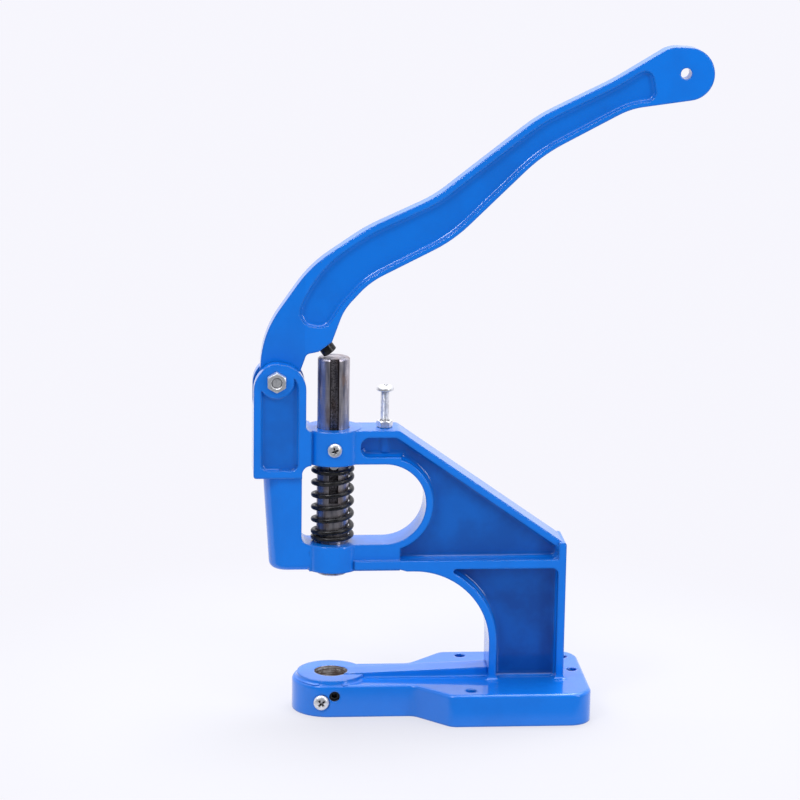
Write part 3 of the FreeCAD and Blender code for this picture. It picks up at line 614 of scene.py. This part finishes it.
def chamfered_nut(name, node, body, place_at, height, material, width, bore, turn):
    """Hexagon nut with both ends chamfered and a countersunk bore, in millimetres."""
    face, corner, chamfer = 0.475 * width, width / math.sqrt(3), math.radians(30)
    outer = corner + 0.1
    drop = (outer - face) * math.tan(chamfer)
    sink, over = 0.4, 0.2
    mouth = bore + sink + over
    blank = mirrored([(0, -1), (corner, -1)], height)
    turned = mirrored([(0, 0), (face, 0), (outer, drop)], height)
    drill = mirrored([(0, -over), (mouth, -over), (bore, sink)], height)
    piece = add_object(name, mesh_of(lathe(blank, segments=6), name))
    cuts = (("turned_blank", turned, "INTERSECT"), ("bore", drill, "DIFFERENCE"))
    for cut, outline, operation in cuts:
        cutter = add_object(cut, mesh_of(lathe(outline, segments=64), cut))
        carved(piece, cutter, operation, material)
    piece.data.transform(place_at @ Matrix.Rotation(math.radians(turn), 4, "Z"))
    smooth_by_angle(piece.data, 25)
    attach(piece, body)
    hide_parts(node)


def nuts(zinc):
    """Pivot nut and stop bolt's lock nut, each as high as its CAD node and in its place."""
    low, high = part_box("pivot_nut")
    x, z = ((low[axis] + high[axis]) / 2 / MM for axis in (0, 2))
    chamfered_nut(
        "pivot_nut_chamfered", "pivot_nut", "frame", facing_front(x, high[1] / MM, z),
        (high[1] - low[1]) / MM, zinc, width=10.0, bore=3.0, turn=90,
    )
    low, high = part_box("stop_lock_nut")
    x, y = ((low[axis] + high[axis]) / 2 for axis in (0, 1))
    chamfered_nut(
        "stop_lock_nut_chamfered", "stop_lock_nut", "frame",
        Matrix.Translation(Vector((x, y, low[2]))),
        (high[2] - low[2]) / MM, zinc, width=8.0, bore=2.5, turn=0,
    )


def screws(zinc, oxide):
    """Plated screws with cross recesses, the stop bolt's thread and the tapped hole's."""
    cross_head_screw(
        "guide_screw_pan_head", "plunger_guide_screw", "frame", facing_front(0, -15.8, 154.9),
        {"shank": 1.98, "length": 8.8, "head": 4.0, "height": 2.6},
        {"reach": 2.5, "width": 1.2, "depth": 1.9}, 18, zinc,
    )
    cross_head_screw(
        "clamp_screw_domed_head", "die_clamp_screw", "frame", facing_front(-6.5, -19.8, 8.7),
        {"shank": 2.48, "length": 10.0, "head": 4.4, "height": 3.0},
        {"reach": 2.9, "width": 1.4, "depth": 2.2}, 40, zinc,
    )
    cross_head_screw(
        "stop_bolt_domed_head", "stop_bolt", "frame", upright(STOP_BOLT_X, 0, STOP_BOLT_SEAT),
        {"shank": 2.27, "length": 32.2, "head": 4.9, "height": 3.0},
        {"reach": 2.6, "width": 1.2, "depth": 1.8}, 25, zinc,
    )
    tree, identifiers = thread_tree()
    values = {"Root Radius": 2.25 * MM, "Crest Radius": 2.47 * MM, "Pitch": 0.8 * MM, "Turns": 39.0}
    thread = grown("stop_bolt_thread", tree, identifiers, values, zinc)
    thread.data.transform(upright(STOP_BOLT_X, 0, STOP_THREAD_FOOT))
    smooth_by_angle(thread.data)
    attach(thread, "frame")
    values = {"Root Radius": 2.99 * MM, "Crest Radius": 2.6 * MM, "Pitch": 0.95 * MM, "Turns": 1.6}
    tapped = grown("set_screw_hole_thread", tree, identifiers, values, oxide)
    tapped.data.transform(facing_front(1.0, -18.8, 12.2))
    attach(tapped, "frame")


# Spring and threads, grown by Geometry Nodes


def geometry_tree(name, inputs):
    """New Geometry Nodes tree; gives the tree, its inputs and their identifiers."""
    tree = bpy.data.node_groups.new(name, "GeometryNodeTree")
    geometry = "NodeSocketGeometry"
    tree.interface.new_socket("Geometry", in_out="INPUT", socket_type=geometry)
    identifiers = add_inputs(tree, inputs)
    tree.interface.new_socket("Geometry", in_out="OUTPUT", socket_type=geometry)
    return tree, tree.nodes.new("NodeGroupInput").outputs, identifiers


def end_tree(tree, geometry, material):
    """Ends a tree in real geometry of one material."""
    real = place(tree, "GeometryNodeRealizeInstances", {"Geometry": geometry}).outputs["Geometry"]
    faced = place(tree, "GeometryNodeSetMaterial", {"Geometry": real, "Material": material})
    leave = tree.nodes.new("NodeGroupOutput")
    tree.links.new(faced.outputs["Geometry"], leave.inputs[0])


def grown(name, tree, identifiers, values, material):
    """Piece made by a Geometry Nodes tree with the given named inputs."""
    piece = add_object(name, bpy.data.meshes.new(name))
    modifier = piece.modifiers.new(name, "NODES")
    modifier.node_group = tree
    for socket, value in values.items():
        modifier[identifiers[socket]] = value
    modifier[identifiers["Material"]] = material
    return finished(piece, material)


def on_cylinder(tree, radius, angle, height):
    across = product(tree, radius, arithmetic(tree, "COSINE", angle))
    along = product(tree, radius, arithmetic(tree, "SINE", angle))
    inputs = {"X": across, "Y": along, "Z": height}
    return place(tree, "ShaderNodeCombineXYZ", inputs).outputs["Vector"]


def coil_tree():
    """Compression spring: closed foot, open turns and a flat top, one round wire."""
    tree, given, identifiers = geometry_tree(
        "compression_coil",
        [
            ("Material", "NodeSocketMaterial", None),
            ("Coil Radius", NUMBER, 0.01085),
            ("Wire Radius", NUMBER, 0.0014),
            ("Start Height", NUMBER, 0.1),
            ("Start Angle", NUMBER, 0.0),
            ("Foot Turns", NUMBER, 1.25),
            ("Foot Pitch", NUMBER, 0.0034),
            ("Open Turns", NUMBER, 5.0),
            ("Open Pitch", NUMBER, 0.007),
            ("Top Turns", NUMBER, 0.5),
            ("Top Pitch", NUMBER, 0.0016),
            ("Steps Per Turn", NUMBER, 64.0),
        ],
    )
    middle = arithmetic(tree, "ADD", given["Foot Turns"], given["Open Turns"])
    turns = arithmetic(tree, "ADD", middle, given["Top Turns"])
    steps = product(tree, turns, given["Steps Per Turn"])
    count = arithmetic(tree, "ADD", arithmetic(tree, "ROUND", steps), 1.0)
    line = place(tree, "GeometryNodeMeshLine", {"Count": count}).outputs["Mesh"]
    index = place(tree, "GeometryNodeInputIndex").outputs["Index"]
    turn = arithmetic(tree, "DIVIDE", index, given["Steps Per Turn"])
    angle = arithmetic(tree, "MULTIPLY_ADD", turn, 2 * math.pi, given["Start Angle"])
    foot = arithmetic(tree, "MINIMUM", turn, given["Foot Turns"])
    past = arithmetic(tree, "SUBTRACT", arithmetic(tree, "MINIMUM", turn, middle), foot)
    last = arithmetic(tree, "MAXIMUM", arithmetic(tree, "SUBTRACT", turn, middle), 0.0)
    height = arithmetic(tree, "MULTIPLY_ADD", foot, given["Foot Pitch"], given["Start Height"])
    height = arithmetic(tree, "MULTIPLY_ADD", past, given["Open Pitch"], height)
    height = arithmetic(tree, "MULTIPLY_ADD", last, given["Top Pitch"], height)
    position = on_cylinder(tree, given["Coil Radius"], angle, height)
    moved = place(tree, "GeometryNodeSetPosition", {"Geometry": line, "Position": position})
    curve = place(tree, "GeometryNodeMeshToCurve", {"Mesh": moved.outputs["Geometry"]})
    inputs = {"Resolution": WIRE_SIDES, "Radius": given["Wire Radius"]}
    ring = place(tree, "GeometryNodeCurvePrimitiveCircle", inputs)
    inputs = {"Curve": curve.outputs["Curve"], "Profile Curve": ring.outputs["Curve"]}
    wire = place(tree, "GeometryNodeCurveToMesh", {**inputs, "Fill Caps": True})
    end_tree(tree, wire.outputs["Mesh"], given["Material"])
    return tree, identifiers


def thread_tree():
    """Helical thread between a root and a crest radius; a smaller crest faces inwards."""
    tree, given, identifiers = geometry_tree(
        "screw_thread",
        [
            ("Material", "NodeSocketMaterial", None),
            ("Root Radius", NUMBER, 0.002),
            ("Crest Radius", NUMBER, 0.0025),
            ("Start Height", NUMBER, 0.0),
            ("Pitch", NUMBER, 0.0008),
            ("Turns", NUMBER, 10.0),
            ("Steps Per Turn", NUMBER, 28.0),
        ],
    )
    steps = product(tree, given["Turns"], given["Steps Per Turn"])
    inputs = {"Size X": 1.0, "Size Y": 1.0, "Vertices X": steps, "Vertices Y": 3}
    sheet = place(tree, "GeometryNodeMeshGrid", inputs).outputs["Mesh"]
    axes = axes_of(tree, place(tree, "GeometryNodeInputPosition").outputs["Position"])
    turn = product(tree, arithmetic(tree, "ADD", axes["X"], 0.5), given["Turns"])
    angle = product(tree, turn, 2 * math.pi)
    ridge = arithmetic(tree, "MULTIPLY_ADD", arithmetic(tree, "ABSOLUTE", axes["Y"]), -2.0, 1.0)
    rise = arithmetic(tree, "SUBTRACT", given["Crest Radius"], given["Root Radius"])
    radius = arithmetic(tree, "MULTIPLY_ADD", ridge, rise, given["Root Radius"])
    pitches = arithmetic(tree, "ADD", turn, axes["Y"])
    height = arithmetic(tree, "MULTIPLY_ADD", pitches, given["Pitch"], given["Start Height"])
    position = on_cylinder(tree, radius, angle, height)
    moved = place(tree, "GeometryNodeSetPosition", {"Geometry": sheet, "Position": position})
    inward = arithmetic(tree, "LESS_THAN", rise, 0.0)
    inputs = {"Mesh": moved.outputs["Geometry"], "Selection": inward}
    flipped = place(tree, "GeometryNodeFlipFaces", inputs)
    end_tree(tree, flipped.outputs["Mesh"], given["Material"])
    return tree, identifiers


def return_spring(material):
    """Round-wire spring between the lower boss and the cross pin."""
    tree, identifiers = coil_tree()
    foot_turns, open_turns, top_turns = 1.25, 5.0, 0.5
    foot_pitch, top_pitch = 3.38 * MM, 1.6 * MM
    low, high = 100.1 * MM, 140.84 * MM
    open_rise = high - low - foot_turns * foot_pitch - top_turns * top_pitch
    values = {
        "Start Height": low,
        "Start Angle": math.radians(105.0),
        "Foot Turns": foot_turns,
        "Foot Pitch": foot_pitch,
        "Open Turns": open_turns,
        "Open Pitch": open_rise / open_turns,
        "Top Turns": top_turns,
        "Top Pitch": top_pitch,
    }
    coil = grown("coil_spring", tree, identifiers, values, material)
    smooth_by_angle(coil.data, 50)
    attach(coil, "frame")
    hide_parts("return_spring")
    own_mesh(coil)


# Cast fillets


def rim_edges(form, facing, level):
    """Edges round the flat faces at a level, with the way in and the wall's rise."""
    parallel, tolerance = 0.999, 0.02 * MM

    def on_level(face):
        off_level = face.verts[0].co.dot(facing) - level * MM
        return face.normal.dot(facing) > parallel and abs(off_level) < tolerance

    flat = {face for face in form.faces if on_level(face)}
    found = []
    for edge in form.edges:
        inner = [face for face in edge.link_faces if face in flat]
        outer = [face for face in edge.link_faces if face not in flat]
        if len(inner) != 1 or len(outer) != 1:
            continue
        along = (edge.verts[1].co - edge.verts[0].co).normalized()
        inward = facing.cross(along)
        if (inner[0].calc_center_median() - edge.verts[0].co).dot(inward) < 0:
            inward.negate()
        rise = max(vertex.co.dot(facing) for vertex in outer[0].verts) - level * MM
        found.append((edge, inward, rise))
    return found


def chained(edges):
    """Runs of the rim's edges in order, each with its vertices and whether it closes."""
    links = {}
    for entry in edges:
        for vertex in entry[0].verts:
            links.setdefault(vertex, []).append(entry)
    left = {entry[0] for entry in edges}
    starts = [vertex for vertex, held in links.items() if len(held) == 1]
    runs = []
    for start in starts + list(links):
        vertices, used, here = [start], [], start
        while True:
            onward = [entry for entry in links[here] if entry[0] in left]
            if not onward:
                break
            left.discard(onward[0][0])
            used.append(onward[0])
            here = onward[0][0].other_vert(here)
            vertices.append(here)
        if used:
            closed = vertices[0] is vertices[-1]
            runs.append((vertices[:-1] if closed else vertices, used, closed))
    return runs


def cove_run(form, run, facing, radius, outwards):
    """Hollow fillet swept along one run of a rim, mitred at its corners."""
    vertices, used, closed = run
    lift = facing * outwards
    buried, share_of_wall, mitre_limit = 0.15 * MM, 0.85, 0.5
    sections = []
    for index, vertex in enumerate(vertices):
        before = used[index - 1] if closed or index else used[0]
        after = used[index] if index < len(used) else used[-1]
        ways = [entry[1] * outwards for entry in (before, after)]
        mitre = (ways[0] + ways[1]) / max(1 + ways[0].dot(ways[1]), mitre_limit)
        size = radius * MM
        if outwards > 0:
            size = min(size, *(share_of_wall * entry[2] for entry in (before, after)))
        arc = []
        for step in range(COVE_STEPS + 1):
            turn = math.pi / 2 * step / COVE_STEPS
            aside, above = size * (1 - math.cos(turn)), size * (1 - math.sin(turn))
            arc.append(form.verts.new(vertex.co + mitre * aside + lift * above))
        arc.append(form.verts.new(vertex.co - mitre * buried - lift * buried))
        sections.append(arc)
    for first, second in zip(sections, sections[1:] + sections[:1] if closed else sections[1:]):
        for step in range(len(first)):
            after = (step + 1) % len(first)
            form.faces.new((first[step], first[after], second[after], second[step]))
    if not closed:
        form.faces.new(sections[0])
        form.faces.new(sections[-1][::-1])


def coves(name, node, body, facing, material, level, radius, outwards=1):
    """Fillets along the walls that meet one flat face, in millimetres.

    The walls stand on the face, or with outwards -1 end in it.
    """
    source = bmesh.new()
    source.from_mesh(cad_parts[node].data)
    bmesh.ops.remove_doubles(source, verts=source.verts, dist=0.002 * MM)
    facing = Vector(facing)
    edges = rim_edges(source, facing, level)
    if outwards > 0:
        lowest_wall = 0.4 * MM
        edges = [entry for entry in edges if entry[2] > lowest_wall]
    made = bmesh.new()
    for run in chained(edges):
        cove_run(made, run, facing, radius, outwards)
    source.free()
    bmesh.ops.recalc_face_normals(made, faces=made.faces)
    piece = add_object(name, mesh_of(made, name))
    piece.data.materials.append(material)
    smooth_by_angle(piece.data, 40)
    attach(piece, body)


def cast_fillets(casting, lever):
    """Coves of the casting and the lever, each in its own enamel."""
    node = "frame_casting"
    for side, facing in (("near", (0, -1, 0)), ("far", (0, 1, 0))):
        coves(f"web_cove_{side}", node, "frame", facing, casting, WEB_HALF, radius=3.0)
        coves(f"box_cove_{side}", node, "frame", facing, casting, BOX_PANEL_HALF, radius=2.2)
        coves(f"lever_cove_{side}", "lever", "lever_arm", facing, lever, LEVER_WEB_HALF, radius=2.3)
    up, down = (0, 0, 1), (0, 0, -1)
    coves("ring_and_rib_cove", "base_casting", "frame", up, casting, BASE_TOP, radius=1.8)
    coves("column_foot_cove", node, "frame", down, casting, -BASE_TOP, radius=2.6, outwards=-1)


# Studio


def look_matrix():
    """Place and turn of the camera, from its target, angles and distance."""
    azimuth, elevation, roll = (
        math.radians(value) for value in (CAMERA_AZIMUTH, CAMERA_ELEVATION, CAMERA_ROLL)
    )
    back = Vector((
        math.sin(azimuth) * math.cos(elevation),
        -math.cos(azimuth) * math.cos(elevation),
        math.sin(elevation),
    ))
    level = Vector((math.cos(azimuth), math.sin(azimuth), 0))
    upward = level.cross(-back)
    side = level * math.cos(roll) + upward * math.sin(roll)
    rise = upward * math.cos(roll) - level * math.sin(roll)
    matrix = Matrix((side, rise, back)).transposed().to_4x4()
    matrix.translation = (Vector(CAMERA_TARGET) + back * CAMERA_DISTANCE) * MM
    return matrix


def add_camera():
    data = bpy.data.cameras.new("photo_camera")
    data.lens = CAMERA_LENS
    data.sensor_width = 36.0
    data.clip_end = 60.0
    camera = add_object("photo_camera", data)
    camera.matrix_world = look_matrix()
    bpy.context.scene.camera = camera


def add_softbox(name, place_at, aim, size, power):
    data = bpy.data.lights.new(name, "AREA")
    data.shape = "RECTANGLE"
    data.size, data.size_y = size
    data.energy = power
    lamp = add_object(name, data)
    lamp.location = place_at
    towards = Vector(aim) - Vector(place_at)
    lamp.rotation_euler = towards.to_track_quat("-Z", "Y").to_euler()


def add_world():
    """Soft light, strongest from above; gloss sees a dark front and a bright ceiling."""
    dark_front, pale_back = -0.80, 0.15
    horizon_light, overhead_light = 0.42, 1.30
    ceiling_low, ceiling_high, ceiling_gain = 0.62, 0.90, 4.5
    world = bpy.data.worlds.new("white_studio")
    tree = emptied(world)
    axes = axes_of(tree, tree.nodes.new("ShaderNodeTexCoord").outputs["Generated"])
    ray = tree.nodes.new("ShaderNodeLightPath").outputs
    seen = arithmetic(tree, "MAXIMUM", ray["Is Camera Ray"], ray["Is Transmission Ray"])
    seen_or_mirrored = arithmetic(tree, "MAXIMUM", seen, ray["Is Glossy Ray"])
    room = tint(tree, span(tree, axes["Y"], dark_front, pale_back), STUDIO_BLACK, BACKDROP)
    shown = tint(tree, seen, room, BACKDROP)
    soft = span(tree, axes["Z"], 0.0, 0.9, horizon_light, overhead_light)
    ceiling = span(tree, axes["Z"], ceiling_low, ceiling_high, 0.0, ceiling_gain)
    bright = arithmetic(tree, "MULTIPLY_ADD", ray["Is Glossy Ray"], ceiling, 1.0)
    strength = place(tree, "ShaderNodeMix", {0: seen_or_mirrored, 2: soft, 3: bright}).outputs[0]
    colour = tint(tree, seen_or_mirrored, SKYLIGHT, shown)
    glow = place(tree, "ShaderNodeBackground", {"Color": colour, "Strength": strength})
    place(tree, "ShaderNodeOutputWorld", {"Surface": glow.outputs["Background"]})
    bpy.context.scene.world = world


def floor_finish():
    """Matt floor under a glow that grows away from the press, dark in front for gloss."""
    material = bpy.data.materials.new("pale_floor")
    tree = emptied(material)
    # Sampled as a lamp, the glow would also reach the gloss that is to see a dark front.
    material.cycles.emission_sampling = "NONE"
    vector = tree.nodes.new("ShaderNodeTexCoord").outputs["Object"]
    away = vector_math(tree, "DISTANCE", vector, SHADOW_MIDDLE)["Value"]
    least_glow = 0.62
    share = span(tree, away, *SHADOW_FADE, least_glow, 1.0)
    depth = axes_of(tree, vector)["Y"]
    glossy = tree.nodes.new("ShaderNodeLightPath").outputs["Is Glossy Ray"]
    unlit = product(tree, glossy, span(tree, depth, *GLOSS_DARKENS))
    front = tint(tree, span(tree, depth, *GLOSS_BLACKENS), STUDIO_DARK, STUDIO_BLACK)
    colour = tint(tree, unlit, BACKDROP, front)
    matt = place(tree, "ShaderNodeBsdfDiffuse", {"Color": FLOOR_GREY}).outputs["BSDF"]
    glow = place(tree, "ShaderNodeEmission", {"Color": colour, "Strength": 1.0})
    veil = arithmetic(tree, "MAXIMUM", share, unlit)
    inputs = {0: veil, 1: matt, 2: glow.outputs["Emission"]}
    surface = place(tree, "ShaderNodeMixShader", inputs).outputs["Shader"]
    place(tree, "ShaderNodeOutputMaterial", {"Surface": surface})
    return material


def add_floor():
    form = bmesh.new()
    corners = ((-1, -1, 0), (1, -1, 0), (1, 1, 0), (-1, 1, 0))
    form.faces.new([form.verts.new(Vector(corner) * FLOOR_HALF) for corner in corners])
    floor = add_object("pale_floor", mesh_of(form, "pale_floor"))
    floor.location = (0, 0, -FLOOR_GAP)
    floor.data.materials.append(floor_finish())


def add_studio():
    add_camera()
    add_world()
    add_floor()
    for softbox in SOFTBOXES:
        add_softbox(*softbox)
    bpy.context.scene.view_settings.view_transform = "Standard"


def dress(nodes, names, material):
    for name in names:
        for slot in nodes[name].material_slots:
            slot.material = material


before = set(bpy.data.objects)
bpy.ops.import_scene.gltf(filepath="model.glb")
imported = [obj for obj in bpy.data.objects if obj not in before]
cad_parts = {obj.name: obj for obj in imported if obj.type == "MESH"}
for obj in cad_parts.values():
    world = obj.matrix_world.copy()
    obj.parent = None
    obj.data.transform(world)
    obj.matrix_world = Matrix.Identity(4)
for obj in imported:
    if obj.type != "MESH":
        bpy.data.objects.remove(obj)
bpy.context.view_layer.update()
enamel = blue_enamel("gloss_blue_enamel", CORNER_RADIUS, WEB_HALF, WEB_SHADE)
lever_enamel = blue_enamel("gloss_blue_enamel_lever", CORNER_RADIUS, LEVER_WEB_HALF, LEVER_SHADE)
# On a cove, rounding would take in its buried faces and draw dark lines.
cove_enamel = blue_enamel("gloss_blue_enamel_coves", 0.0, WEB_HALF, WEB_SHADE)
lever_cove_enamel = blue_enamel("gloss_blue_enamel_lever_coves", 0.0, LEVER_WEB_HALF, LEVER_SHADE)
zinc, oxide, steel = zinc_plate(), black_oxide(), ram_steel()
dress(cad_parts, CASTING_NODES, enamel)
dress(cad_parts, ("lever",), lever_enamel)
dress(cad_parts, ZINC_NODES, zinc)
dress(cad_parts, OXIDE_NODES, oxide)
dress(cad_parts, ("plunger",), steel)
return_spring(oxide)
screws(zinc, oxide)
nuts(zinc)
cast_fillets(cove_enamel, lever_cove_enamel)
add_studio()
